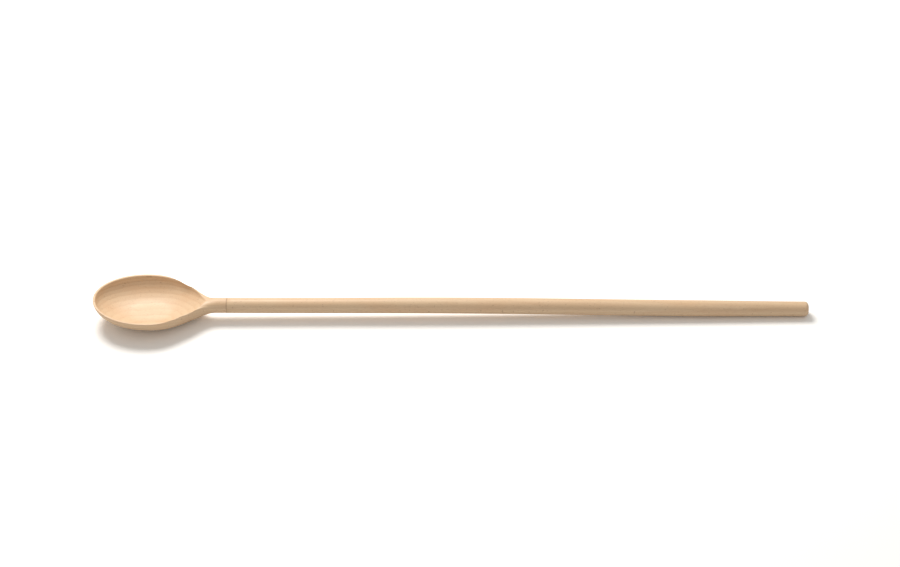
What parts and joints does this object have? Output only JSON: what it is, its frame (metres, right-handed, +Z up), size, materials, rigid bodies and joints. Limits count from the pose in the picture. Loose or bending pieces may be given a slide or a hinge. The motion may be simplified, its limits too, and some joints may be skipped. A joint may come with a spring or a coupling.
{
  "type": "wooden stirring spoon",
  "caption": "Long plain wooden stirring spoon with an oval hollow bowl on a round turned handle, lying with its hollow up.",
  "frame": {"origin": "middle of the spoon's length and width, on the surface that it lies on", "axes": "+X along the spoon from the bowl to the handle's end, +Y across the bowl, +Z up, out of the hollow"},
  "size_m": [0.5, 0.0548, 0.0181],
  "materials": {
    "beech_head": "fine sanded, unoiled",
    "beech_handle": "fine sanded, unoiled",
    "wood_glue": "dried, sanded flush"
  },
  "bodies": {
    "root": {"spoon_head": "beech_head", "handle": "beech_handle", "glue_line": "wood_glue"}
  },
  "joints": []
}
